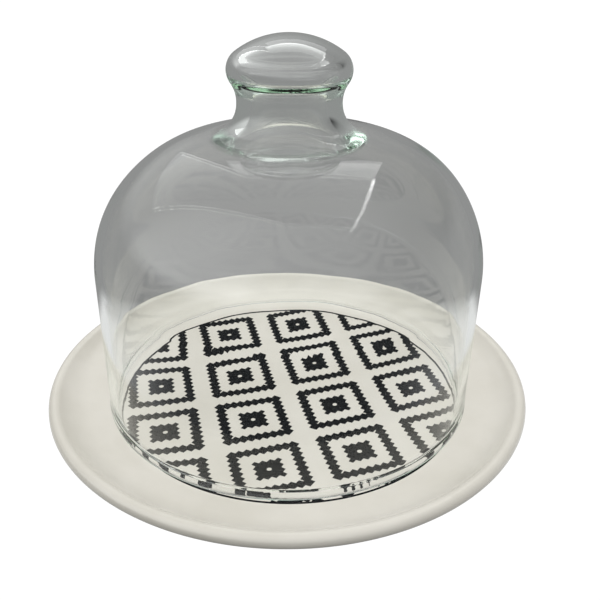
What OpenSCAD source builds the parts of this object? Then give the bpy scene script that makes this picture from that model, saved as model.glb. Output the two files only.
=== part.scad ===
// Cheese dome: a glass bell with a hollow knob, standing on a round stoneware plate
// that carries a printed pattern. Millimetres, +Z up. The origin is the middle of the
// foot ring's underside, on the table.

/* [Glass bell] */
// Outside diameter of the straight wall
bell_d = 159.2; // [120:0.2:220]
// Thickness of the wall and the shoulder
wall_t = 3; // [2:0.1:5]
// Height of the straight wall, from the underside of the lip to the shoulder
wall_h = 61.6; // [30:0.2:120]
// Radius of the shoulder between the wall and the neck
shoulder_r = 53; // [35:0.5:70]
// Thickness of the rounded lip
lip_t = 4; // [3.6:0.1:7]
// How far the lip stands out past the wall
lip_out = 0.3; // [0:0.1:1]
// Height over which the lip fades into the wall
lip_blend_h = 3; // [2.5:0.5:15]

/* [Neck] */
// Outside diameter of the neck at its narrowest
neck_d = 40.6; // [30:0.2:46]
// Thickness of the glass at the neck
neck_t = 6; // [3:0.1:8]
// Straight length of the neck
neck_h = 0.6; // [0.4:0.1:20]
// Radius of the outside curve from the shoulder up into the neck
neck_flare_r = 12.5; // [6:0.5:16]
// Radius of the inside curve from the shoulder up into the neck
bore_flare_r = 15.5; // [8:0.5:24]

/* [Knob] */
// Outside diameter of the knob
knob_d = 47.7; // [47:0.1:80]
// Radius of the knob's rounded side
knob_side_r = 7.7; // [6:0.1:10]
// Height of the knob's crown above its widest point
knob_crown_h = 12.9; // [11:0.1:18]
// Thickness of the knob's glass
knob_t = 4; // [2:0.1:5]
// Radius of the outside curve from the neck out into the knob
knob_flare_r = 12.5; // [4:0.5:16]
// Radius of the inside curve from the neck out into the knob
knob_bore_flare_r = 10; // [4:0.5:14]

/* [Plate] */
// Width of the plate that shows outside the bell
border_w = 25.4; // [22:0.2:50]
// Thickness of the stoneware under the well
plate_t = 5.5; // [4:0.1:8]
// Radius of the shallow sphere that the well is part of
well_r = 900; // [600:10:2000]
// Thickness of the rounded rim
rim_t = 5.8; // [4:0.1:7]
// Height of the rim crest above the middle of the well
rim_rise = 10.8; // [9:0.1:14]
// Radius of the curve from the well up to the rim
upturn_r = 18; // [10:1:22]

/* [Foot ring] */
// Outside diameter of the foot ring
foot_d = 130; // [80:1:136]
// Width of the foot ring
foot_w = 5; // [4:0.1:10]
// How far the foot ring stands below the middle of the underside
foot_h = 3.5; // [2:0.1:8]
// Radius of the foot ring's two lower edges
foot_edge_r = 1; // [0.4:0.1:1.8]

/* [Printed pattern] */
// How far the printed circle's edge lies inside the bell's outside diameter
print_inset = 4.55; // [4:0.05:20]
// Thickness of the fired print
print_t = 0.1; // [0.06:0.01:0.14]
// How far the print was laid off the plate's middle, to the right
print_x = 0.7; // [-3:0.1:3]
// How far the print was laid off the plate's middle, to the back
print_y = -5.5; // [-6:0.1:6]

/* [Fit] */
// Clearance between the resting lip and the well
seat_gap = 0.2; // [0.15:0.01:0.5]

/* [Hidden] */
$fn = 96;

// Steps in a long shallow arc, a full shoulder and a small round
well_steps = 10;
arc_steps = 14;
round_steps = 8;
blend_steps = 5;
// How far a cutter runs past what it cuts
past = 5;

bell_r = bell_d / 2;
plate_d = bell_d + 2 * border_w;
print_d = bell_d - 2 * print_inset;

// Levels of the plate, from the table up
well_z = foot_h + plate_t;
well_c = [0, well_z + well_r];
rim_c = [plate_d / 2 - rim_t / 2, well_z + rim_rise - rim_t / 2];

// Points on a circle from angle a0 to a1, leaving out the last
function arc(c, r, a0, a1, n) = [for (i = [0:n - 1]) c + r * unit(a0 + (a1 - a0) * i / n)];
// The unit vector at an angle
function unit(a) = [cos(a), sin(a)];
// The angle of a vector
function heading(v) = atan2(v.y, v.x);
// The point at distance ra from a and rb from b, to the left of the line from a to b
function meet(a, ra, b, rb) =
    let (d = norm(b - a), u = (b - a) / d, x = (d * d + ra * ra - rb * rb) / (2 * d))
    a + x * u + sqrt(ra * ra - x * x) * [-u.y, u.x];
// The height at which a circle of radius r around the column x touches one around c at reach
function tangent_rise(x, c, reach) = sqrt(reach * reach - (x - c.x) * (x - c.x));
// Points that ease from p0 to p1 in height, with both ends upright, leaving out the last
function ease(p0, p1, n) =
    [for (i = [0:n - 1]) let (t = i / n) [p0.x + (p1.x - p0.x) * (1 - cos(180 * t)) / 2,
                                          p0.y + (p1.y - p0.y) * t]];

// The curve from the well up to the rim touches the well's sphere and the rim's round
upturn_c = meet(rim_c, upturn_r + rim_t / 2, well_c, well_r - upturn_r);
upturn_a = heading(upturn_c - well_c);
// The underside keeps the plate's thickness below the well
function under_z(r) = well_c.y - sqrt(pow(well_r + plate_t, 2) - r * r);
foot_r = foot_d / 2;
foot_in_r = foot_r - foot_w;
foot_top = [foot_r, under_z(foot_r)];
// The sloping underside runs from the foot to touch the rim's round from below
slope_a = heading(rim_c - foot_top) - asin(rim_t / 2 / norm(rim_c - foot_top));

well_points = concat(arc(well_c, well_r, -90, upturn_a, well_steps),
                     [well_c + well_r * unit(upturn_a)]);

// The lip's round rests on the well's sphere, less the clearance
lip_x = bell_r + lip_out - lip_t / 2;
lip_c = [lip_x, well_c.y - sqrt(pow(well_r - lip_t / 2 - seat_gap, 2) - lip_x * lip_x)];
shoulder_c = [bell_r - shoulder_r, lip_c.y - lip_t / 2 + wall_h];

// Neck: outside and inside flares that touch the shoulder's two circles
neck_r = neck_d / 2;
bore_r = neck_r - neck_t;
neck_flare_x = neck_r + neck_flare_r;
bore_flare_x = bore_r + bore_flare_r;
neck_flare_c = [neck_flare_x, shoulder_c.y
                + tangent_rise(neck_flare_x, shoulder_c, shoulder_r + neck_flare_r)];
bore_flare_c = [bore_flare_x, shoulder_c.y
                + tangent_rise(bore_flare_x, shoulder_c, shoulder_r - wall_t + bore_flare_r)];
shoulder_a = heading(neck_flare_c - shoulder_c);
shoulder_in_a = heading(bore_flare_c - shoulder_c);

// Knob: its widest point stands clear of both neck flares by the straight neck
knob_side_x = knob_d / 2 - knob_side_r;
side_in_r = knob_side_r - knob_t;
knob_flare_x = neck_r + knob_flare_r;
knob_bore_flare_x = bore_r + knob_bore_flare_r;
knob_drop = tangent_rise(knob_flare_x, [knob_side_x, 0], knob_side_r + knob_flare_r);
knob_bore_drop = tangent_rise(knob_bore_flare_x, [knob_side_x, 0], side_in_r + knob_bore_flare_r);
knob_z = neck_h + max(neck_flare_c.y + knob_drop, bore_flare_c.y + knob_bore_drop);
knob_side_c = [knob_side_x, knob_z];
knob_flare_c = [knob_flare_x, knob_z - knob_drop];
knob_bore_flare_c = [knob_bore_flare_x, knob_z - knob_bore_drop];
knob_side_a = heading(knob_flare_c - knob_side_c);
knob_side_in_a = heading(knob_bore_flare_c - knob_side_c);
// The crown's large circle is centred on the axis and touches the side's circle from outside
crown_r = (pow(knob_crown_h, 2) + pow(knob_side_x, 2) - pow(knob_side_r, 2))
          / (2 * (knob_crown_h - knob_side_r));
crown_c = [0, knob_z + knob_crown_h - crown_r];
crown_a = heading(knob_side_c - crown_c);
// The knob was joined on hot in the middle of the straight neck
join_z = (max(neck_flare_c.y, bore_flare_c.y) + min(knob_flare_c.y, knob_bore_flare_c.y)) / 2;

// Stoneware plate: shallow well, upturned round rim and foot ring, one fired piece
module plate() {
    foot_c = [foot_r - foot_edge_r, foot_edge_r];
    foot_in_c = [foot_in_r + foot_edge_r, foot_edge_r];
    color("ivory")
        rotate_extrude()
            polygon(concat(
                arc(well_c, well_r, -90, upturn_a, well_steps),
                arc(upturn_c, upturn_r, upturn_a, heading(rim_c - upturn_c), round_steps),
                arc(rim_c, rim_t / 2, heading(upturn_c - rim_c), slope_a - 90, arc_steps),
                [rim_c + rim_t / 2 * unit(slope_a - 90)],
                [foot_top],
                arc(foot_c, foot_edge_r, 0, -90, round_steps),
                [[foot_c.x, 0]],
                arc(foot_in_c, foot_edge_r, -90, -180, round_steps),
                [[foot_in_r, foot_edge_r]],
                arc(well_c, well_r + plate_t, asin(foot_in_r / (well_r + plate_t)) - 90, -90,
                    well_steps),
                [[0, foot_h]]
            ));
}

// Printed pattern: a thin round film fired onto the well, laid a little off the middle
module printed_pattern() {
    color([0.16, 0.17, 0.18])
        intersection() {
            rotate_extrude()
                polygon(concat(
                    well_points,
                    [for (i = [well_steps:-1:0]) well_points[i] + [0, print_t]]
                ));
            translate([print_x, print_y, 0])
                cylinder(d = print_d, h = well_z + rim_rise + past);
        }
}

// Glass bell: round lip, straight wall, shoulder and the lower half of the neck
module glass_bell() {
    color([0.80, 0.88, 0.84, 0.35])
        rotate_extrude()
            polygon(concat(
                arc(lip_c, lip_t / 2, -90, 0, round_steps),
                ease(lip_c + [lip_t / 2, 0], [bell_r, lip_c.y + lip_blend_h], blend_steps),
                [[bell_r, lip_c.y + lip_blend_h]],
                arc(shoulder_c, shoulder_r, 0, shoulder_a, arc_steps),
                arc(neck_flare_c, neck_flare_r, shoulder_a + 180, 180, round_steps),
                [[neck_r, neck_flare_c.y]],
                [[neck_r, join_z]],
                [[bore_r, join_z]],
                arc(bore_flare_c, bore_flare_r, 180, shoulder_in_a + 180, round_steps),
                arc(shoulder_c, shoulder_r - wall_t, shoulder_in_a, 0, arc_steps),
                [[bell_r - wall_t, shoulder_c.y]],
                ease([bell_r - wall_t, lip_c.y + lip_blend_h], lip_c - [lip_t / 2, 0], blend_steps),
                arc(lip_c, lip_t / 2, 180, 270, round_steps)
            ));
}

// Glass knob: the upper half of the neck and a squat hollow knob, open to the bell
module glass_knob() {
    color([0.72, 0.86, 0.79, 0.45])
        rotate_extrude()
            polygon(concat(
                [[bore_r, join_z]],
                [[neck_r, join_z]],
                arc(knob_flare_c, knob_flare_r, 180, knob_side_a + 180, round_steps),
                arc(knob_side_c, knob_side_r, knob_side_a, crown_a, arc_steps),
                arc(crown_c, crown_r, crown_a, 90, round_steps),
                [[0, crown_c.y + crown_r]],
                arc(crown_c, crown_r - knob_t, 90, crown_a, round_steps),
                arc(knob_side_c, side_in_r, crown_a, knob_side_in_a, arc_steps),
                arc(knob_bore_flare_c, knob_bore_flare_r, knob_side_in_a + 180, 180, round_steps),
                [[bore_r, knob_bore_flare_c.y]]
            ));
}

plate();
printed_pattern();
glass_bell();
glass_knob();
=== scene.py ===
"""A cheese dome: a clear blown bell with a hollow knob, on a stoneware plate with a printed pattern.

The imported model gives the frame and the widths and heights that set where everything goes: the
plate's width and the height of its rim, the print's width, and the bell's width and underside. Each
sub-assembly is a class that keeps its maker's other sizes in millimetres, builds its mesh in the
frame and is dressed with its own finish.
"""

import logging
import math
from dataclasses import dataclass, field
from enum import Enum

import bmesh
import bpy
from mathutils import Matrix, Vector
from mathutils.geometry import tessellate_polygon


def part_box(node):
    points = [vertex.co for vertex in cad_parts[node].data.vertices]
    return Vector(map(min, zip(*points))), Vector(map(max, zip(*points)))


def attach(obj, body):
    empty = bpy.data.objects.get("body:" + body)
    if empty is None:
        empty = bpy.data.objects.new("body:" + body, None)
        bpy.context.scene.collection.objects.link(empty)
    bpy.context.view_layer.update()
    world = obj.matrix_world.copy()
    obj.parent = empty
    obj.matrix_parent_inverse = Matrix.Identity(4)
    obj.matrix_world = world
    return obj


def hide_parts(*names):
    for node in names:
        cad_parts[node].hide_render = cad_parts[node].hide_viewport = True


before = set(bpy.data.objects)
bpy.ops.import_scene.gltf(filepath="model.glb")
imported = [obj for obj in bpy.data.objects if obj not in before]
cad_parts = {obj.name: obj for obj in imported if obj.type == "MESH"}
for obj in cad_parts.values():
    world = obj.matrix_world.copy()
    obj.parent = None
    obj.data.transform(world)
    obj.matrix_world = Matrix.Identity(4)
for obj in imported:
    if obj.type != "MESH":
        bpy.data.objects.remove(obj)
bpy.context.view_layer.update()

MM = 0.001
WELD = 1e-3 * MM
RIGHT_ANGLE = math.pi / 2
LOG = logging.getLogger("cheese_dome")

Point = tuple[float, float]
Colour = tuple[float, float, float]

WHITE = (1, 1, 1, 1)


class Body(Enum):
    """The bodies that a piece can ride on."""

    DISH = "dish"
    DOME = "dome"


class Slot(Enum):
    """The record's material slots."""

    STONEWARE = "glazed_stoneware"
    PRINT = "fired_print"
    BELL_GLASS = "bell_glass"


# ---------------------------------------------------------------------------------------------
# Outlines turned on the lathe
# ---------------------------------------------------------------------------------------------


def polar(centre: Point, radius: float, angle: float) -> Point:
    """The point at a distance and an angle in radians from a centre."""
    return centre[0] + radius * math.cos(angle), centre[1] + radius * math.sin(angle)


def heading(start: Point, end: Point) -> float:
    """The angle in radians of the line from one point to another."""
    return math.atan2(end[1] - start[1], end[0] - start[0])


def touch_rise(column: float, centre: Point, reach: float) -> float:
    """How far above a centre a second centre lies, in a given column and at a given distance."""
    return math.sqrt(reach**2 - (column - centre[0]) ** 2)


def meet(a: Point, reach_a: float, b: Point, reach_b: float) -> Point:
    """The point at given distances from two others, on the left of the line between them.

    Args:
        a: The first point.
        reach_a: The distance from the first point.
        b: The second point.
        reach_b: The distance from the second point.

    Returns:
        The point where the two circles cross.
    """
    gap = math.dist(a, b)
    along = (gap**2 + reach_a**2 - reach_b**2) / (2 * gap)
    off = math.sqrt(reach_a**2 - along**2)
    ux, uy = (b[0] - a[0]) / gap, (b[1] - a[1]) / gap
    return a[0] + along * ux - off * uy, a[1] + along * uy + off * ux


def quarter_turned(point: Point, quarters: int) -> Point:
    """A point turned round the origin by some quarter turns."""
    x, y = point
    for _ in range(quarters):
        x, y = -y, x
    return x, y


@dataclass
class Outline:
    """Half of a turned shape's section, as points of radius and height in millimetres."""

    points: list[Point] = field(default_factory=list)

    def to(self, point: Point) -> "Outline":
        """Adds a point, unless the outline is already there."""
        if not self.points or math.dist(self.points[-1], point) > 1e-6:
            self.points.append(point)
        return self

    def line(self, point: Point, steps: int) -> "Outline":
        """Adds a straight run in equal steps."""
        x, y = self.points[-1]
        for i in range(1, steps + 1):
            self.to((x + (point[0] - x) * i / steps, y + (point[1] - y) * i / steps))
        return self

    def arc(self, centre: Point, radius: float, start: float, end: float, steps: int) -> "Outline":
        """Adds an arc.

        Args:
            centre: The arc's centre.
            radius: Its radius.
            start: The angle in radians that it starts at.
            end: The angle in radians that it ends at.
            steps: How many equal steps it has.

        Returns:
            The outline itself, so that calls can be chained.
        """
        for i in range(steps + 1):
            self.to(polar(centre, radius, start + (end - start) * i / steps))
        return self

    def ease(self, point: Point, steps: int) -> "Outline":
        """Adds a run that starts and ends upright."""
        x, y = self.points[-1]
        for i in range(1, steps + 1):
            share = (1 - math.cos(math.pi * i / steps)) / 2
            self.to((x + (point[0] - x) * share, y + (point[1] - y) * i / steps))
        return self

    def mesh(self, name: str) -> bpy.types.Mesh:
        """The outline as a line of vertices in the XZ plane, in metres."""
        made = bpy.data.meshes.new(name)
        made.from_pydata([(r * MM, 0, z * MM) for r, z in self.points], [], [])
        return made


# ---------------------------------------------------------------------------------------------
# Geometry Nodes
# ---------------------------------------------------------------------------------------------


class Kind(Enum):
    """The kinds of a tree's named inputs."""

    LENGTH = "NodeSocketFloat"
    COUNT = "NodeSocketInt"
    VECTOR = "NodeSocketVector"
    MATERIAL = "NodeSocketMaterial"


class GeometryTree:
    """A Geometry Nodes group under construction, with helpers that keep the wiring short."""

    def __init__(self, name: str, inputs: dict[str, Kind]) -> None:
        """Makes the group and its sockets.

        Args:
            name: The group's name.
            inputs: The name and kind of each input after the geometry.
        """
        self.group = bpy.data.node_groups.new(name, "GeometryNodeTree")
        face = self.group.interface
        face.new_socket("Geometry", in_out="INPUT", socket_type="NodeSocketGeometry")
        self.names = {}
        for label, kind in inputs.items():
            item = face.new_socket(label, in_out="INPUT", socket_type=kind.value)
            self.names[label] = item.identifier
        face.new_socket("Geometry", in_out="OUTPUT", socket_type="NodeSocketGeometry")
        self.source = self.group.nodes.new("NodeGroupInput")
        self.sink = self.group.nodes.new("NodeGroupOutput")

    def given(self, label: str) -> bpy.types.NodeSocket:
        """The socket of one of the tree's own inputs."""
        return self.source.outputs[label]

    def node(self, kind: str, feeds: dict[str | int, object], **settings: object) -> bpy.types.Node:
        """Adds a node.

        Args:
            kind: The node's type, without its GeometryNode prefix unless it has another.
            feeds: What goes into each input: a socket to link, or a plain value.
            settings: The node's own properties.

        Returns:
            The node.
        """
        full = kind if kind.startswith(("Shader", "Function")) else f"GeometryNode{kind}"
        made = self.group.nodes.new(full)
        for label, value in settings.items():
            setattr(made, label, value)
        for label, value in feeds.items():
            socket = made.inputs[label]
            if isinstance(value, bpy.types.NodeSocket):
                self.group.links.new(value, socket)
            else:
                socket.default_value = value
        return made

    def sum(self, operation: str, *values: object) -> bpy.types.NodeSocket:
        """A Math node's result."""
        made = self.node("ShaderNodeMath", dict(enumerate(values)), operation=operation)
        return made.outputs[0]

    def vector(self, operation: str, *values: object) -> bpy.types.NodeSocket:
        """A Vector Math node's vector, or its number where it gives one."""
        made = self.node("ShaderNodeVectorMath", dict(enumerate(values)), operation=operation)
        number = operation in ("LENGTH", "DISTANCE", "DOT_PRODUCT")
        return made.outputs["Value" if number else "Vector"]

    def scaled(self, vector: object, by: object) -> bpy.types.NodeSocket:
        """A vector times a number."""
        return self.node(
            "ShaderNodeVectorMath", {0: vector, "Scale": by}, operation="SCALE"
        ).outputs["Vector"]

    def parts(self, vector: bpy.types.NodeSocket) -> list[bpy.types.NodeSocket]:
        """The three parts of a vector."""
        return list(self.node("ShaderNodeSeparateXYZ", {0: vector}).outputs)

    def whole(self, x: object, y: object, z: object) -> bpy.types.NodeSocket:
        """A vector from its three parts."""
        return self.node("ShaderNodeCombineXYZ", {0: x, 1: y, 2: z}).outputs[0]

    def end(self, geometry: bpy.types.NodeSocket) -> None:
        """Ends the tree: what repeats is made real and gets its finish."""
        real = self.node("RealizeInstances", {0: geometry}).outputs[0]
        dressed = self.node("SetMaterial", {"Geometry": real, "Material": self.given("Finish")})
        self.group.links.new(dressed.outputs[0], self.sink.inputs[0])

    def grow(self, name: str, seed: bpy.types.Mesh, values: dict[str, object]) -> bpy.types.Object:
        """Runs the tree on a mesh and keeps the result as a plain object.

        Args:
            name: The object's name.
            seed: The mesh that goes into the tree.
            values: The value of each named input.

        Returns:
            The object, with no modifier left on it.
        """
        made = bpy.data.objects.new(name, seed)
        bpy.context.scene.collection.objects.link(made)
        modifier = made.modifiers.new(self.group.name, "NODES")
        modifier.node_group = self.group
        for label, value in values.items():
            modifier[self.names[label]] = value
        bpy.context.view_layer.update()
        graph = bpy.context.evaluated_depsgraph_get()
        grown = bpy.data.meshes.new_from_object(made.evaluated_get(graph))
        grown.name = name
        made.modifiers.remove(modifier)
        made.data = grown
        return made


def lathe_tree() -> GeometryTree:
    """A tree that turns a line of points round the Z axis and ripples the skin a little.

    Returns:
        The tree, with the number of points and of turns, the ripple's height and size and the
        finish as its inputs.
    """
    tree = GeometryTree(
        "Lathe",
        {
            "Points": Kind.COUNT,
            "Turns": Kind.COUNT,
            "Ripple": Kind.LENGTH,
            "Ripple scale": Kind.VECTOR,
            "Seed": Kind.LENGTH,
            "Finish": Kind.MATERIAL,
        },
    )
    columns = tree.sum("ADD", tree.given("Turns"), 1)
    grid = tree.node("MeshGrid", {"Vertices X": tree.given("Points"), "Vertices Y": columns})
    index = tree.node("InputIndex", {}).outputs[0]
    row = tree.sum("FLOOR", tree.sum("DIVIDE", tree.sum("ADD", index, 0.5), columns))
    column = tree.sum("SUBTRACT", index, tree.sum("MULTIPLY", row, columns))
    turn = tree.sum("DIVIDE", tree.sum("MULTIPLY", column, math.tau), tree.given("Turns"))
    place = tree.node("InputPosition", {}).outputs[0]
    sample = tree.node(
        "SampleIndex",
        {"Geometry": tree.given("Geometry"), "Value": place, "Index": row},
        data_type="FLOAT_VECTOR",
        domain="POINT",
    )
    radius, _, height = tree.parts(sample.outputs[0])
    spun = tree.whole(
        tree.sum("MULTIPLY", radius, tree.sum("COSINE", turn)),
        tree.sum("MULTIPLY", radius, tree.sum("SINE", turn)),
        height,
    )
    turned = tree.node("SetPosition", {"Geometry": grid.outputs[0], "Position": spun})
    closed = tree.node("MergeByDistance", {"Geometry": turned.outputs[0], "Distance": WELD})
    noise = tree.node(
        "ShaderNodeTexNoise",
        {
            "Vector": tree.vector("MULTIPLY", place, tree.given("Ripple scale")),
            "W": tree.given("Seed"),
            "Scale": 1.0,
            "Detail": 1.5,
            "Roughness": 0.4,
        },
        noise_dimensions="4D",
    )
    swing = tree.sum("MULTIPLY", tree.sum("SUBTRACT", noise.outputs[0], 0.5), 2)
    normal = tree.node("InputNormal", {}).outputs[0]
    push = tree.scaled(normal, tree.sum("MULTIPLY", swing, tree.given("Ripple")))
    rippled = tree.node("SetPosition", {"Geometry": closed.outputs[0], "Offset": push})
    smooth = tree.node("SetShadeSmooth", {"Geometry": rippled.outputs[0]})
    tree.end(smooth.outputs[0])
    return tree


def turn_outwards(mesh: bpy.types.Mesh) -> None:
    """Makes a closed mesh's faces point outwards."""
    work = bmesh.new()
    work.from_mesh(mesh)
    bmesh.ops.recalc_face_normals(work, faces=work.faces)
    work.to_mesh(mesh)
    work.free()


# ---------------------------------------------------------------------------------------------
# Finishes
# ---------------------------------------------------------------------------------------------


class NodeTree:
    """The shader nodes of a material or a world under construction."""

    def __init__(self, owner: bpy.types.Material | bpy.types.World) -> None:
        """Empties the owner's tree."""
        owner.use_nodes = True
        self.tree = owner.node_tree
        self.tree.nodes.clear()

    def link(self, source: bpy.types.NodeSocket, target: bpy.types.NodeSocket) -> None:
        """Joins two sockets."""
        self.tree.links.new(source, target)

    def node(self, kind: str, feeds: dict[str | int, object], **settings: object) -> bpy.types.Node:
        """Adds a shader node.

        Args:
            kind: The node's type, without its ShaderNode prefix.
            feeds: What goes into each input: a socket to link, or a plain value.
            settings: The node's own properties.

        Returns:
            The node.
        """
        made = self.tree.nodes.new(f"ShaderNode{kind}")
        for label, value in settings.items():
            setattr(made, label, value)
        for label, value in feeds.items():
            if isinstance(value, bpy.types.NodeSocket):
                self.link(value, made.inputs[label])
            else:
                made.inputs[label].default_value = value
        return made

    def ramp(self, value: bpy.types.NodeSocket, *stops: tuple[float, Colour]) -> bpy.types.NodeSocket:
        """A colour ramp.

        Args:
            value: What the ramp reads.
            stops: The place and colour of each stop, in order.

        Returns:
            The ramp's colour.
        """
        made = self.node("ValToRGB", {0: value})
        band = made.color_ramp
        while len(band.elements) < len(stops):
            band.elements.new(0.5)
        for element, (place, colour) in zip(band.elements, stops, strict=True):
            element.position = place
            element.color = (*colour, 1)
        return made.outputs[0]

    def mix(self, share: object, first: object, second: object) -> bpy.types.NodeSocket:
        """A mix of two colours."""
        made = self.node("Mix", {}, data_type="RGBA")
        for place, value in ((0, share), (6, first), (7, second)):
            if isinstance(value, bpy.types.NodeSocket):
                self.link(value, made.inputs[place])
            else:
                made.inputs[place].default_value = value if isinstance(value, float) else (*value, 1)
        return made.outputs[2]

    def blend(self, share: object, first: object, second: object) -> bpy.types.NodeSocket:
        """A mix of two numbers."""
        return self.node("Mix", {0: share, 2: first, 3: second}, data_type="FLOAT").outputs[0]


class ShaderTree(NodeTree):
    """A piece's material: one Principled shader, and patterns on the piece's own coordinates."""

    def __init__(self, name: str) -> None:
        """Makes the material, with its shader wired to its output."""
        self.material = bpy.data.materials.new(name)
        super().__init__(self.material)
        self.out = self.node("OutputMaterial", {})
        self.shader = self.node("BsdfPrincipled", {})
        self.link(self.shader.outputs[0], self.out.inputs["Surface"])
        self.place = self.node("TexCoord", {}).outputs["Object"]

    def noise(self, scale: float, detail: float) -> bpy.types.NodeSocket:
        """A noise from 0 to 1 over the object, at a scale in cycles a metre."""
        feeds = {"Vector": self.place, "Scale": scale, "Detail": detail}
        return self.node("TexNoise", feeds).outputs[0]

    def bump(self, height: bpy.types.NodeSocket, depth: float) -> bpy.types.NodeSocket:
        """A bump of a given depth in metres."""
        return self.node("Bump", {"Height": height, "Distance": depth, "Strength": 1.0}).outputs[0]

    def grade(self, value: bpy.types.NodeSocket, low: float, high: float) -> bpy.types.NodeSocket:
        """A number from 0 to 1 brought to another range."""
        return self.node("MapRange", {0: value, 3: low, 4: high}).outputs[0]


@dataclass(frozen=True)
class GlazedStoneware:
    """An ivory gloss glaze, softly clouded, with a few iron specks."""

    pale: Colour = (0.79, 0.765, 0.69)
    deep: Colour = (0.72, 0.695, 0.615)
    speck: Colour = (0.20, 0.15, 0.10)

    def make(self) -> bpy.types.Material:
        """The material, with clouding, a faint orange peel and a few iron specks."""
        tree = ShaderTree("ivory_glaze")
        cloud = tree.ramp(tree.noise(28, 4), (0.35, self.deep), (0.65, self.pale))
        cells = tree.node("TexVoronoi", {"Vector": tree.place, "Scale": 95.0}, feature="F1")
        near = tree.node("MapRange", {0: cells.outputs["Distance"], 1: 0.028, 2: 0.045, 3: 1.0, 4: 0.0})
        pick = tree.node("SeparateColor", {0: cells.outputs["Color"]}).outputs[0]
        few = tree.node("Math", {0: pick, 1: 0.93}, operation="GREATER_THAN").outputs[0]
        share = tree.node("Math", {0: near.outputs[0], 1: few}, operation="MULTIPLY").outputs[0]
        tree.link(tree.mix(share, cloud, self.speck), tree.shader.inputs["Base Color"])
        tree.link(tree.grade(tree.noise(140, 3), 0.13, 0.24), tree.shader.inputs["Roughness"])
        tree.link(tree.bump(tree.noise(420, 1), 0.00001), tree.shader.inputs["Normal"])
        tree.shader.inputs["IOR"].default_value = 1.5
        return tree.material


@dataclass(frozen=True)
class BareStoneware:
    """The unglazed foot ring: dry, buff and gritty."""

    clay: Colour = (0.52, 0.46, 0.37)
    grit: Colour = (0.36, 0.31, 0.24)

    def make(self) -> bpy.types.Material:
        """The material, with grit in its colour and its surface."""
        tree = ShaderTree("bare_foot")
        grain = tree.noise(1500, 4)
        tree.link(tree.ramp(grain, (0.4, self.grit), (0.6, self.clay)), tree.shader.inputs["Base Color"])
        tree.shader.inputs["Roughness"].default_value = 0.85
        tree.link(tree.bump(grain, 0.00005), tree.shader.inputs["Normal"])
        return tree.material


@dataclass(frozen=True)
class FiredPrint:
    """Charcoal transfer print under a thin gloss, a little uneven in density."""

    ink: Colour = (0.004, 0.005, 0.006)
    thin: Colour = (0.009, 0.011, 0.012)

    def make(self) -> bpy.types.Material:
        """The material, with a mottled density and a softer gloss than the glaze."""
        tree = ShaderTree("charcoal_print")
        mottle = tree.noise(900, 3)
        tree.link(tree.ramp(mottle, (0.4, self.ink), (0.7, self.thin)), tree.shader.inputs["Base Color"])
        tree.link(tree.grade(tree.noise(300, 2), 0.15, 0.28), tree.shader.inputs["Roughness"])
        tree.link(tree.bump(tree.noise(700, 1), 0.000006), tree.shader.inputs["Normal"])
        tree.shader.inputs["IOR"].default_value = 1.45
        tree.shader.inputs["Specular IOR Level"].default_value = 0.08
        return tree.material


@dataclass(frozen=True)
class BlownGlass:
    """Clear soda glass with a slight green, which shows where the light runs far in it."""

    index: float = 1.5
    sheen: float = 0.42
    tint: Colour = (0.275, 0.85, 0.5)
    density: float = 5.0

    def make(self) -> bpy.types.Material:
        """The material: a clear shader over a plain absorption."""
        tree = ShaderTree("clear_blown_glass")
        glass = tree.shader.inputs
        glass["Base Color"].default_value = WHITE
        glass["Transmission Weight"].default_value = 1.0
        glass["Roughness"].default_value = 0.0
        glass["IOR"].default_value = self.index
        glass["Specular Tint"].default_value = (self.sheen, self.sheen, self.sheen, 1)
        ripple = tree.noise(55, 2)
        tree.link(tree.bump(ripple, 0.00004), glass["Normal"])
        tinted = tree.node("VolumeAbsorption", {"Density": self.density, "Color": (*self.tint, 1)})
        tree.link(tinted.outputs[0], tree.out.inputs["Volume"])
        return tree.material


# ---------------------------------------------------------------------------------------------
# Sub-assemblies
# ---------------------------------------------------------------------------------------------


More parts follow.
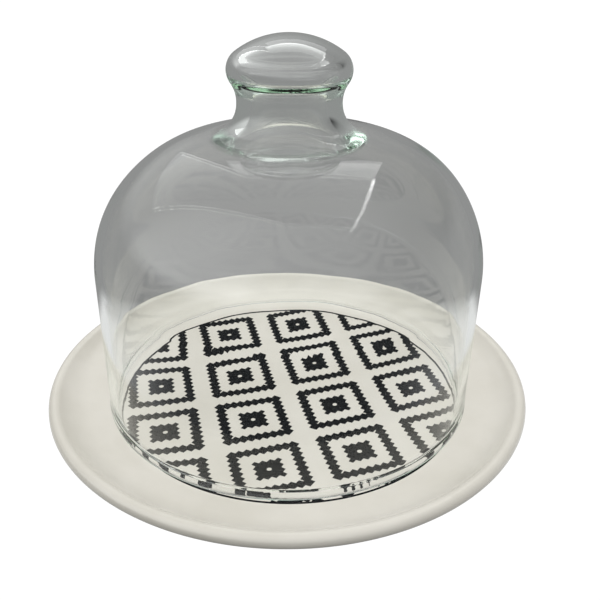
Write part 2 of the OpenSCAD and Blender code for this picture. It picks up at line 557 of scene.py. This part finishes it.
@dataclass
class Plate:
    """The stoneware plate: a shallow well, an upturned round rim and a foot ring. Millimetres."""

    width: float
    crest: float
    thickness: float = 5.5
    well_radius: float = 900.0
    rim_thickness: float = 5.8
    upturn_radius: float = 18.0
    foot_width: float = 130.0
    foot_wall: float = 5.0
    foot_height: float = 3.5
    foot_edge: float = 1.0
    bare_height: float = 0.75
    ripple: float = 0.03
    ripple_scale: float = 28.0
    seed: float = 3.0
    turns: int = 256

    @classmethod
    def from_frame(cls) -> "Plate":
        """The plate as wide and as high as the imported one."""
        low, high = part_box("plate")
        return cls(width=(high.x - low.x) / MM, crest=high.z / MM)

    @property
    def well_centre(self) -> Point:
        """The centre of the sphere that the well is part of."""
        return 0.0, self.foot_height + self.thickness + self.well_radius

    def outline(self) -> Outline:
        """Half the plate's section, from the middle of the well round to the middle below.

        Returns:
            The outline, which starts and ends on the axis.
        """
        well, reach = self.well_centre, self.well_radius
        lip = self.rim_thickness / 2
        rim = (self.width / 2 - lip, self.crest - lip)
        upturn = meet(rim, self.upturn_radius + lip, well, reach - self.upturn_radius)
        up_angle = heading(well, upturn)
        below = reach + self.thickness
        foot = self.foot_width / 2
        inner = foot - self.foot_wall
        foot_top = (foot, well[1] - math.sqrt(below**2 - foot**2))
        slope = heading(foot_top, rim) - math.asin(lip / math.dist(foot_top, rim))
        made = Outline()
        made.arc(well, reach, -RIGHT_ANGLE, up_angle, 40)
        made.arc(upturn, self.upturn_radius, up_angle, heading(upturn, rim), 24)
        made.arc(rim, lip, heading(upturn, rim) + math.pi, slope - RIGHT_ANGLE, 32)
        made.line(foot_top, 14)
        made.line((foot, self.foot_edge), 3)
        edge = self.foot_edge
        made.arc((foot - edge, edge), edge, 0, -RIGHT_ANGLE, 6)
        made.arc((inner + edge, edge), edge, -RIGHT_ANGLE, -math.pi, 6)
        made.line((inner, well[1] - math.sqrt(below**2 - inner**2)), 3)
        made.arc(well, below, math.asin(inner / below) - RIGHT_ANGLE, -RIGHT_ANGLE, 24)
        return made

    def build(self, lathe: GeometryTree) -> bpy.types.Object:
        """Turns the plate and dresses it: glaze all over, and a bare foot ring.

        Args:
            lathe: The tree that turns an outline.

        Returns:
            The plate's object.
        """
        outline = self.outline()
        glaze, bare = GlazedStoneware().make(), BareStoneware().make()
        made = lathe.grow(
            "stoneware_plate",
            outline.mesh("plate_outline"),
            {
                "Points": len(outline.points),
                "Turns": self.turns,
                "Ripple": self.ripple * MM,
                "Ripple scale": (self.ripple_scale,) * 3,
                "Seed": self.seed,
                "Finish": glaze,
            },
        )
        turn_outwards(made.data)
        made.data.materials.append(bare)
        for face in made.data.polygons:
            if face.center.z < self.bare_height * MM:
                face.material_index = 1
        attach(made, Body.DISH.value)
        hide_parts("plate")
        return made


@dataclass
class Print:
    """The fired transfer: rows of toothed lozenges inside a fine ring.

    Millimetres and degrees, but the lozenge's own sizes (ring, block and dot) are in pitches.
    """

    well_centre: Point
    well_radius: float
    across: float
    shift: Point = (0.7, -5.5)
    row_pitch: float = 37.5
    row_angle: float = 17.0
    cross_pitch: float = 34.8
    cross_angle: float = 102.9
    lattice_middle: Point = (-1.14, -1.85)
    stretch: Point = (0.985, 1.05)
    teeth: int = 8
    ring_step: float = 0.0862
    ring_tip: float = 0.071
    ring_notch: float = 0.033
    ring_corner: float = 0.66
    block_teeth: int = 3
    block_tip: float = 0.168
    block_notch: float = 0.132
    dot: float = 0.028
    dot_sides: int = 16
    rows: int = 6
    line: float = 1.0
    film: float = 0.07
    sunk: float = 0.05
    drum_depth: float = 10.0
    circle_sides: int = 256

    @classmethod
    def on(cls, plate: Plate) -> "Print":
        """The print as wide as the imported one, on a plate's well."""
        low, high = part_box("printed_pattern")
        return cls(plate.well_centre, plate.well_radius, (high.x - low.x) / MM)

    def band(self) -> list[tuple[Point, Point]]:
        """The toothed ring of one lozenge, in pitches: an outer and an inner point at each step.

        Returns:
            The pairs of points in order round the ring.
        """
        half = self.ring_step * self.teeth / 2
        corner = half - self.ring_tip * self.ring_corner
        pairs = []
        for side in range(4):
            for i in range(2 * self.teeth + 1):
                along = -half + self.ring_step * i / 2
                reach = self.ring_notch if i % 2 else self.ring_tip
                outer, inner = (along, -half - reach), (along, -half + reach)
                if i in (0, 2 * self.teeth):
                    inner = (math.copysign(corner, along), -corner)
                pairs.append((quarter_turned(outer, side), quarter_turned(inner, side)))
        return pairs

    def block(self) -> list[Point]:
        """The toothed block in the middle of one lozenge, in pitches."""
        half = self.ring_step * self.block_teeth / 2
        points = []
        for side in range(4):
            for i in range(2 * self.block_teeth + 1):
                reach = self.block_notch if i % 2 else self.block_tip
                along = -half + self.ring_step * i / 2
                points.append(quarter_turned((along, -reach), side))
        return points

    def motif(self) -> bpy.types.Mesh:
        """One flat lozenge as a mesh, in the skewed directions of the rows, in metres.

        Returns:
            The mesh, centred on the origin.
        """
        a = polar((0.0, 0.0), self.row_pitch, math.radians(self.row_angle))
        b = polar((0.0, 0.0), self.cross_pitch, math.radians(self.cross_angle))

        def laid(point: Point) -> tuple[float, float, float]:
            """A point in pitches brought to the plate, in metres."""
            u, v = point[0] * self.stretch[0], point[1] * self.stretch[1]
            return (u * a[0] + v * b[0]) * MM, (u * a[1] + v * b[1]) * MM, 0.0

        pairs = self.band()
        points = [laid(p) for pair in pairs for p in pair]
        count = len(pairs)
        faces = []
        for i in range(count):
            after = (i + 1) % count
            faces.append((2 * i, 2 * after, 2 * after + 1, 2 * i + 1))
        outer = [laid(p) for p in self.block()]
        sides = self.dot_sides
        hole = [laid(polar((0.0, 0.0), self.dot, -math.tau * i / sides)) for i in range(sides)]
        start = len(points)
        points += outer + hole
        for tri in tessellate_polygon([[Vector(p) for p in outer], [Vector(p) for p in hole]]):
            faces.append(tuple(start + i for i in tri))
        made = bpy.data.meshes.new("lozenge")
        made.from_pydata(points, [], faces)
        work = bmesh.new()
        work.from_mesh(made)
        bmesh.ops.remove_doubles(work, verts=work.verts, dist=WELD)
        for face in work.faces:
            face.normal_update()
            if face.normal.z < 0:
                face.normal_flip()
        work.to_mesh(made)
        work.free()
        return made

    def tree(self) -> GeometryTree:
        """The tree that lays the lozenges out, trims them to the ring and beds them on the glaze.

        Returns:
            The tree, with the pitches, the circle and the film's sizes as its inputs.
        """
        names = ("Inner", "Line", "Film", "Sunk", "Well radius", "Well height")
        inputs = {name: Kind.LENGTH for name in names}
        inputs |= {name: Kind.VECTOR for name in ("Row", "Cross", "Middle", "Shift")}
        inputs |= {"Rows": Kind.COUNT, "Finish": Kind.MATERIAL}
        tree = GeometryTree("Printed lozenges", inputs)
        given = tree.given
        # The lattice: a square grid of points, moved to the rows' own directions
        grid = tree.node("MeshGrid", {"Vertices X": given("Rows"), "Vertices Y": given("Rows")})
        index = tree.node("InputIndex", {}).outputs[0]
        row = tree.sum("FLOOR", tree.sum("DIVIDE", tree.sum("ADD", index, 0.5), given("Rows")))
        column = tree.sum("SUBTRACT", index, tree.sum("MULTIPLY", row, given("Rows")))
        half = tree.sum("DIVIDE", tree.sum("SUBTRACT", given("Rows"), 1), 2)
        steps = tree.vector(
            "ADD",
            tree.scaled(given("Row"), tree.sum("SUBTRACT", column, half)),
            tree.scaled(given("Cross"), tree.sum("SUBTRACT", row, half)),
        )
        place = tree.vector("ADD", steps, given("Middle"))
        lattice = tree.node("SetPosition", {"Geometry": grid.outputs[0], "Position": place})
        copies = tree.node(
            "InstanceOnPoints", {"Points": lattice.outputs[0], "Instance": given("Geometry")}
        )
        flat = tree.node("RealizeInstances", {0: copies.outputs[0]}).outputs[0]
        # A closed film: the flat shapes below, their raised copies and walls above
        depth = tree.sum("ADD", given("Film"), given("Sunk"))
        raised = tree.node(
            "ExtrudeMesh",
            {"Mesh": flat, "Offset": (0.0, 0.0, 1.0), "Offset Scale": depth, "Individual": False},
            mode="FACES",
        )
        under = tree.node("FlipFaces", {"Mesh": flat})
        both = tree.node("JoinGeometry", {0: raised.outputs[0]})
        tree.group.links.new(under.outputs[0], both.inputs[0])
        film = tree.node("MergeByDistance", {"Geometry": both.outputs[0], "Distance": WELD})
        # Trimmed to the circle inside the fine ring
        drum = tree.node(
            "MeshCylinder",
            {"Vertices": self.circle_sides, "Radius": given("Inner"), "Depth": self.drum_depth * MM},
            fill_type="NGON",
        )
        moved = tree.node("Transform", {"Geometry": drum.outputs[0], "Translation": given("Shift")})
        trimmed = tree.node(
            "MeshBoolean", {"Mesh 2": film.outputs[0]}, operation="INTERSECT", solver="EXACT"
        )
        tree.group.links.new(moved.outputs[0], trimmed.inputs["Mesh 2"])
        # The fine ring round it
        middle = tree.sum("ADD", given("Inner"), tree.sum("DIVIDE", given("Line"), 2))
        circle = tree.node("CurvePrimitiveCircle", {"Resolution": self.circle_sides, "Radius": middle})
        bar = tree.node("CurvePrimitiveQuadrilateral", {"Width": given("Line"), "Height": depth})
        hoop = tree.node("CurveToMesh", {"Curve": circle.outputs[0], "Profile Curve": bar.outputs[0]})
        rise = tree.whole(0.0, 0.0, tree.sum("DIVIDE", depth, 2))
        seat = tree.vector("ADD", given("Shift"), rise)
        ring = tree.node("Transform", {"Geometry": hoop.outputs[0], "Translation": seat})
        whole = tree.node("JoinGeometry", {0: trimmed.outputs[0]})
        tree.group.links.new(ring.outputs[0], whole.inputs[0])
        # Bedded on the well's sphere
        here = tree.node("InputPosition", {}).outputs[0]
        x, y, _ = tree.parts(here)
        away = tree.sum("ADD", tree.sum("MULTIPLY", x, x), tree.sum("MULTIPLY", y, y))
        reach = tree.sum("MULTIPLY", given("Well radius"), given("Well radius"))
        drop = tree.sum("SQRT", tree.sum("SUBTRACT", reach, away))
        level = tree.sum("SUBTRACT", tree.sum("SUBTRACT", given("Well height"), drop), given("Sunk"))
        bedded = tree.node(
            "SetPosition", {"Geometry": whole.outputs[0], "Offset": tree.whole(0.0, 0.0, level)}
        )
        tree.end(bedded.outputs[0])
        return tree

    def build(self) -> bpy.types.Object:
        """Lays the print on the well and dresses it.

        Returns:
            The print's object.
        """
        row, cross = math.radians(self.row_angle), math.radians(self.cross_angle)
        made = self.tree().grow(
            "print_lozenges",
            self.motif(),
            {
                "Inner": (self.across / 2 - self.line) * MM,
                "Line": self.line * MM,
                "Film": self.film * MM,
                "Sunk": self.sunk * MM,
                "Well radius": self.well_radius * MM,
                "Well height": self.well_centre[1] * MM,
                "Row": Vector((math.cos(row), math.sin(row), 0)) * self.row_pitch * MM,
                "Cross": Vector((math.cos(cross), math.sin(cross), 0)) * self.cross_pitch * MM,
                "Middle": (self.lattice_middle[0] * MM, self.lattice_middle[1] * MM, 0.0),
                "Shift": (self.shift[0] * MM, self.shift[1] * MM, 0.0),
                "Rows": self.rows,
                "Finish": FiredPrint().make(),
            },
        )
        turn_outwards(made.data)
        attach(made, Body.DISH.value)
        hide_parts("printed_pattern")
        return made


@dataclass
class Bell:
    """The blown glass bell and its hollow knob, fused at the neck into one skin. Millimetres."""

    outside: float
    floor: float
    wall: float = 3.0
    wall_height: float = 61.6
    shoulder_radius: float = 53.0
    lip: float = 4.0
    lip_out: float = 0.3
    lip_blend: float = 3.0
    neck: float = 40.6
    neck_wall: float = 6.0
    neck_straight: float = 0.6
    neck_flare: float = 12.5
    bore_flare: float = 15.5
    knob: float = 47.7
    knob_side: float = 7.7
    knob_crown: float = 12.9
    knob_wall: float = 4.0
    knob_flare: float = 12.5
    knob_bore_flare: float = 10.0
    lean: float = 0.55
    lean_height: float = 90.0
    tip: float = 0.012
    tip_below: float = 12.9
    tip_spread: float = 16.0
    ripple: float = 0.05
    ripple_scale: tuple[float, float, float] = (40.0, 40.0, 60.0)
    seed: float = 11.0
    turns: int = 256

    @classmethod
    def from_frame(cls) -> "Bell":
        """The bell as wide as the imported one, standing where it stands."""
        low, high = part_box("glass_bell")
        return cls(outside=(high.x - low.x) / MM - 2 * cls.lip_out, floor=low.z / MM)

    def outline(self) -> Outline:
        """Half the section of bell and knob, from the crown down outside and back up inside.

        Returns:
            The outline, which starts and ends on the axis.
        """
        radius = self.outside / 2
        lip = (radius + self.lip_out - self.lip / 2, self.floor + self.lip / 2)
        shoulder = (radius - self.shoulder_radius, self.floor + self.wall_height)
        shoulder_in = self.shoulder_radius - self.wall
        neck = self.neck / 2
        bore = neck - self.neck_wall
        x = neck + self.neck_flare
        flare = (x, shoulder[1] + touch_rise(x, shoulder, self.shoulder_radius + self.neck_flare))
        x = bore + self.bore_flare
        flare_in = (x, shoulder[1] + touch_rise(x, shoulder, shoulder_in + self.bore_flare))
        side_x = self.knob / 2 - self.knob_side
        side_in = self.knob_side - self.knob_wall
        x_out, x_in = neck + self.knob_flare, bore + self.knob_bore_flare
        drop = touch_rise(x_out, (side_x, 0.0), self.knob_side + self.knob_flare)
        drop_in = touch_rise(x_in, (side_x, 0.0), side_in + self.knob_bore_flare)
        level = self.neck_straight + max(flare[1] + drop, flare_in[1] + drop_in)
        side = (side_x, level)
        throat, throat_in = (x_out, level - drop), (x_in, level - drop_in)
        crown_radius = (self.knob_crown**2 + side_x**2 - self.knob_side**2) / (
            2 * (self.knob_crown - self.knob_side)
        )
        crown = (0.0, level + self.knob_crown - crown_radius)
        crown_edge = heading(crown, side)
        made = Outline()
        made.arc(crown, crown_radius, RIGHT_ANGLE, crown_edge, 24)
        made.arc(side, self.knob_side, crown_edge, heading(side, throat), 28)
        made.arc(throat, self.knob_flare, heading(throat, side), math.pi, 16)
        made.arc(flare, self.neck_flare, math.pi, heading(flare, shoulder) + math.tau, 20)
        made.arc(shoulder, self.shoulder_radius, heading(shoulder, flare), 0, 48)
        made.line((radius, lip[1] + self.lip_blend), 14)
        made.ease((lip[0] + self.lip / 2, lip[1]), 10)
        made.arc(lip, self.lip / 2, 0, -math.pi, 24)
        made.ease((radius - self.wall, lip[1] + self.lip_blend), 10)
        made.line((radius - self.wall, shoulder[1]), 14)
        made.arc(shoulder, shoulder_in, 0, heading(shoulder, flare_in), 48)
        made.arc(flare_in, self.bore_flare, heading(flare_in, shoulder) + math.tau, math.pi, 20)
        made.arc(throat_in, self.knob_bore_flare, math.pi, heading(throat_in, side), 14)
        made.arc(side, side_in, heading(side, throat_in), crown_edge, 20)
        made.arc(crown, crown_radius - self.knob_wall, crown_edge, RIGHT_ANGLE, 24)
        return made

    def settle(self, mesh: bpy.types.Mesh) -> None:
        """Lets the soft glass sit a little to the right, with its shoulder a little higher there.

        Args:
            mesh: The turned glass, in metres, which is changed.
        """
        shoulder = self.floor + self.wall_height + self.shoulder_radius - self.tip_below
        for vertex in mesh.vertices:
            height = vertex.co.z / MM
            rise = min(max((height - self.floor) / self.lean_height, 0), 1)
            near = math.exp(-(((height - shoulder) / self.tip_spread) ** 2))
            vertex.co.z += self.tip * vertex.co.x * near
            vertex.co.x += self.lean * MM * rise**2 * (3 - 2 * rise)

    def build(self, lathe: GeometryTree) -> bpy.types.Object:
        """Turns the glass and dresses it.

        Args:
            lathe: The tree that turns an outline.

        Returns:
            The object of bell and knob in one.
        """
        outline = self.outline()
        made = lathe.grow(
            "blown_bell_and_knob",
            outline.mesh("bell_outline"),
            {
                "Points": len(outline.points),
                "Turns": self.turns,
                "Ripple": self.ripple * MM,
                "Ripple scale": self.ripple_scale,
                "Seed": self.seed,
                "Finish": BlownGlass().make(),
            },
        )
        self.settle(made.data)
        turn_outwards(made.data)
        made.visible_shadow = False
        made.visible_diffuse = False
        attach(made, Body.DOME.value)
        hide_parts("glass_bell", "glass_knob")
        return made


# ---------------------------------------------------------------------------------------------
# The studio
# ---------------------------------------------------------------------------------------------


@dataclass(frozen=True)
class Panel:
    """A flat glowing shape that hangs level over the dish. Metres."""

    name: str
    corners: tuple[Point, ...]
    glow: float
    lights_dish: bool = True
    height: float = 1.32

    @classmethod
    def strip(cls, name: str, start: Point, end: Point, width: float, glow: float) -> "Panel":
        """A narrow panel between two points, which shows in gloss and glass only.

        Args:
            name: The panel's name.
            start: The middle of its one end.
            end: The middle of its other end.
            width: How wide it is.
            glow: How bright it is.

        Returns:
            The panel.
        """
        across = heading(start, end) + RIGHT_ANGLE
        sides = (polar(start, width / 2, across), polar(end, width / 2, across))
        others = (polar(end, -width / 2, across), polar(start, -width / 2, across))
        return cls(name, sides + others, glow, lights_dish=False)

    def make(self) -> bpy.types.Object:
        """Hangs the panel, out of the camera's sight.

        Returns:
            The panel's object.
        """
        mesh = bpy.data.meshes.new(self.name)
        points = [(x, y, self.height) for x, y in self.corners]
        mesh.from_pydata(points, [], [range(len(points))])
        material = bpy.data.materials.new(self.name)
        tree = NodeTree(material)
        lit = tree.node("Emission", {"Color": WHITE, "Strength": self.glow})
        tree.node("OutputMaterial", {0: lit.outputs[0]})
        mesh.materials.append(material)
        made = bpy.data.objects.new(self.name, mesh)
        made.visible_camera = False
        made.visible_diffuse = self.lights_dish
        bpy.context.scene.collection.objects.link(made)
        return made


@dataclass
class Studio:
    """The floor, the surround, the overhead panels and the camera. Metres and degrees.

    The camera sees a plain white floor and surround. Gloss and glass see the darker levels below.
    """

    seen_white: float = 1.05
    floor_radius: float = 3.0
    floor_painted_shade: float = 0.10
    # Painted shade: the floor's dark glow in front of the dish, where the dish's shadow would fall.
    floor_far: float = 0.28
    floor_pale: float = 0.75
    pale_patch_side: Point = (0.16, 0.20)
    pale_patch_back: Point = (0.070, 0.100)
    painted_shade_span: Point = (-0.12, -0.05)
    # The span over which the painted shade in front of the dish comes in.
    backdrop: float = 0.28
    backdrop_top: Point = (0.08, 0.25)
    soft_low: float = 0.34
    soft_high: float = 1.32
    room: tuple[Point, ...] = ((0, 3.0), (0.2, 3.0), (0.5, 1.9), (0.75, 1.2), (0.92, 0.1))
    room_back: float = 0.20
    room_turn: Point = (-0.2, 0.4)
    glass_bounces: int = 24
    lens: float = 43.7
    sensor: float = 36.0
    lift: float = 33.79
    distance: float = 0.3383
    aim: Vector = field(default_factory=lambda: Vector((0, 0, 0.0121)))
    pan: float = 0.92
    tilt: float = 6.36
    roll: float = -0.05
    clip: Point = (0.01, 50.0)

    def camera(self) -> bpy.types.Object:
        """Sets the camera up: first aimed at the plate, then panned, tilted and rolled.

        Returns:
            The camera's object.
        """
        lens = bpy.data.cameras.new("camera")
        lens.lens, lens.sensor_width = self.lens, self.sensor
        lens.clip_start, lens.clip_end = self.clip
        made = bpy.data.objects.new("camera", lens)
        lift = math.radians(self.lift)
        back = Vector((0, -math.cos(lift), math.sin(lift)))
        aimed = Matrix.Rotation(math.radians(90) - lift, 3, "X")
        turned = (
            aimed
            @ Matrix.Rotation(math.radians(self.tilt), 3, "X")
            @ Matrix.Rotation(math.radians(self.pan), 3, "Y").inverted()
            @ Matrix.Rotation(math.radians(self.roll), 3, "Z")
        )
        place = self.aim + back * self.distance
        made.matrix_world = Matrix.LocRotScale(place, turned.to_quaternion(), None)
        bpy.context.scene.collection.objects.link(made)
        bpy.context.scene.camera = made
        return made

    def sweep(self, tree: NodeTree, sky: bool) -> None:
        """Wires a plain white to the eye, and the dimmer surround to all that it lights.

        Args:
            tree: The tree of the floor's material or of the world, emptied.
            sky: True for the world.
        """
        kind = "Background" if sky else "Emission"
        seen = tree.node(kind, {"Color": WHITE, "Strength": self.seen_white})
        level = self.sky_level(tree) if sky else self.floor_level(tree)
        lit = tree.node(kind, {"Color": WHITE, "Strength": level})
        eye = tree.node("LightPath", {}).outputs["Is Camera Ray"]
        mix = tree.node("MixShader", {0: eye, 1: lit.outputs[0], 2: seen.outputs[0]})
        tree.node("OutputWorld" if sky else "OutputMaterial", {0: mix.outputs[0]})

    def fade(
        self, tree: NodeTree, value: bpy.types.NodeSocket, span: Point, low: float = 0.0, high: float = 1.0
    ) -> bpy.types.NodeSocket:
        """A level that runs from one value to another while a place crosses a span."""
        feeds = {0: value, 1: span[0], 2: span[1], 3: low, 4: high}
        return tree.node("MapRange", feeds).outputs[0]

    def sky_level(self, tree: NodeTree) -> bpy.types.NodeSocket:
        """The surround's brightness.

        Args:
            tree: The world's tree.

        Returns:
            An even soft light on what is matt. In gloss and glass, a grey backdrop low down and
            above it a room that is bright to the left and in front.
        """
        way = tree.node("TexCoord", {}).outputs["Generated"]
        across, along, up = tree.node("SeparateXYZ", {0: way}).outputs
        across = tree.node("MapRange", {0: across, 1: -1.0, 2: 1.0}).outputs[0]
        brightest = max(level for _, level in self.room)
        stops = [(place, (level / brightest,) * 3) for place, level in self.room]
        back = self.fade(tree, along, self.room_turn, brightest, brightest * self.room_back)
        room = tree.node("Math", {0: tree.ramp(across, *stops), 1: back}, operation="MULTIPLY")
        above = self.fade(tree, up, self.backdrop_top)
        glossy = tree.blend(above, self.backdrop, room.outputs[0])
        soft = tree.node("MapRange", {0: up, 3: self.soft_low, 4: self.soft_high}).outputs[0]
        return tree.blend(tree.node("LightPath", {}).outputs["Is Diffuse Ray"], glossy, soft)

    def floor_level(self, tree: NodeTree) -> bpy.types.NodeSocket:
        """The floor's brightness: a paler patch under the dish, painted shade in front of it, and grey
        beyond.

        Args:
            tree: The floor's tree.

        Returns:
            The brightness.
        """
        place = tree.node("TexCoord", {}).outputs["Object"]
        across, along, _ = tree.node("SeparateXYZ", {0: place}).outputs
        off = tree.node("Math", {0: across}, operation="ABSOLUTE").outputs[0]
        within = self.fade(tree, off, self.pale_patch_side, 1.0, 0.0)
        before = self.fade(tree, along, self.pale_patch_back, 1.0, 0.0)
        # Painted shade: the glow drops to the dark level in front of the dish, standing in for its shadow.
        shade = self.fade(tree, along, self.painted_shade_span)
        pale = tree.node("Math", {0: within, 1: before}, operation="MULTIPLY").outputs[0]
        ground = tree.blend(pale, self.floor_far, self.floor_pale)
        return tree.blend(shade, self.floor_painted_shade, ground)

    def floor(self) -> bpy.types.Object:
        """Lays the pale floor, a broad round sheet just below the foot ring.

        Returns:
            The floor's object.
        """
        mesh = bpy.data.meshes.new("floor")
        work = bmesh.new()
        bmesh.ops.create_circle(work, cap_ends=True, segments=96, radius=self.floor_radius)
        work.to_mesh(mesh)
        work.free()
        made = bpy.data.objects.new("floor", mesh)
        material = bpy.data.materials.new("studio_floor")
        self.sweep(NodeTree(material), sky=False)
        mesh.materials.append(material)
        bpy.context.scene.collection.objects.link(made)
        return made

    def build(self) -> None:
        """Builds the whole studio."""
        scene = bpy.context.scene
        scene.view_settings.view_transform = "Standard"
        scene.cycles.max_bounces = self.glass_bounces
        scene.cycles.glossy_bounces = self.glass_bounces
        scene.cycles.transmission_bounces = self.glass_bounces
        scene.world = bpy.data.worlds.new("studio")
        scene.world.cycles.sampling_method = "NONE"
        self.sweep(NodeTree(scene.world), sky=True)
        self.floor()
        self.camera()
        for panel in self.panels():
            panel.make()

    def panels(self) -> list[Panel]:
        """The overhead panels: a broad soft one, a band behind it and five narrow bright strips."""
        right_back, right_front = (0.67, 0.84), (0.69, -0.40)
        front, far_left, left_back, back = (-0.07, -0.37), (-1.99, 0.97), (-1.26, 3.08), (-0.31, 0.85)
        return [
            Panel("soft_panel", (right_back, right_front, front, far_left, left_back, back), 1.0),
            Panel("back_band", ((-0.35, 0.86), (0.67, 0.86), (0.75, 1.6), (-0.45, 1.6)), 1.5),
            Panel.strip("right_edge", right_back, right_front, 0.035, 9.0),
            Panel.strip("front_edge", right_front, front, 0.015, 5.0),
            Panel.strip("left_edge", front, far_left, 0.02, 5.0),
            Panel.strip("back_edge", right_back, back, 0.03, 3.0),
            Panel.strip("back_left_edge", back, left_back, 0.03, 3.0),
        ]


def main() -> None:
    """Builds the studio and the object, and reports each piece."""
    logging.basicConfig(level=logging.INFO, format="%(name)s: %(message)s")
    Studio().build()
    lathe = lathe_tree()
    plate = Plate.from_frame()
    pieces = [plate.build(lathe), Print.on(plate).build(), Bell.from_frame().build(lathe)]
    for piece in pieces:
        low = [min(v.co[i] for v in piece.data.vertices) for i in range(3)]
        high = [max(v.co[i] for v in piece.data.vertices) for i in range(3)]
        size = " x ".join(f"{(b - a) / MM:.1f}" for a, b in zip(low, high, strict=True))
        LOG.info("%s: %d faces, %s mm", piece.name, len(piece.data.polygons), size)


if __name__ == "__main__":
    main()
